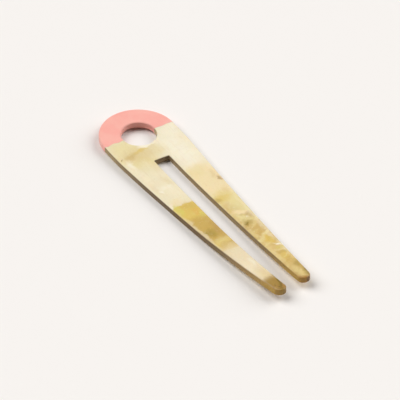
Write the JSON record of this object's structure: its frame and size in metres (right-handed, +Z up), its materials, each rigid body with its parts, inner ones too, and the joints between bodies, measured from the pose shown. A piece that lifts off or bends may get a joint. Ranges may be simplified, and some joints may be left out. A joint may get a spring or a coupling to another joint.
{
  "type": "double hairpin",
  "caption": "Flat hair fork of blond horn: a lacquered ring head with a round hole, and tapering prongs that curve gently from end to end.",
  "frame": {"origin": "middle of the bounding box's base, on the surface that the pin lies on belly down", "axes": "+X from the ring head to the tips of the prongs, +Y across the head towards the shorter prong, +Z up, out of the hollow side of the bow"},
  "size_m": [0.129, 0.032, 0.0053],
  "materials": {
    "horn": "polished blond horn, cream to amber, slightly translucent",
    "lacquer": "smooth satin pink lacquer"
  },
  "bodies": {
    "root": {"horn_fork": "horn", "lacquer_cap": "lacquer"}
  },
  "joints": []
}
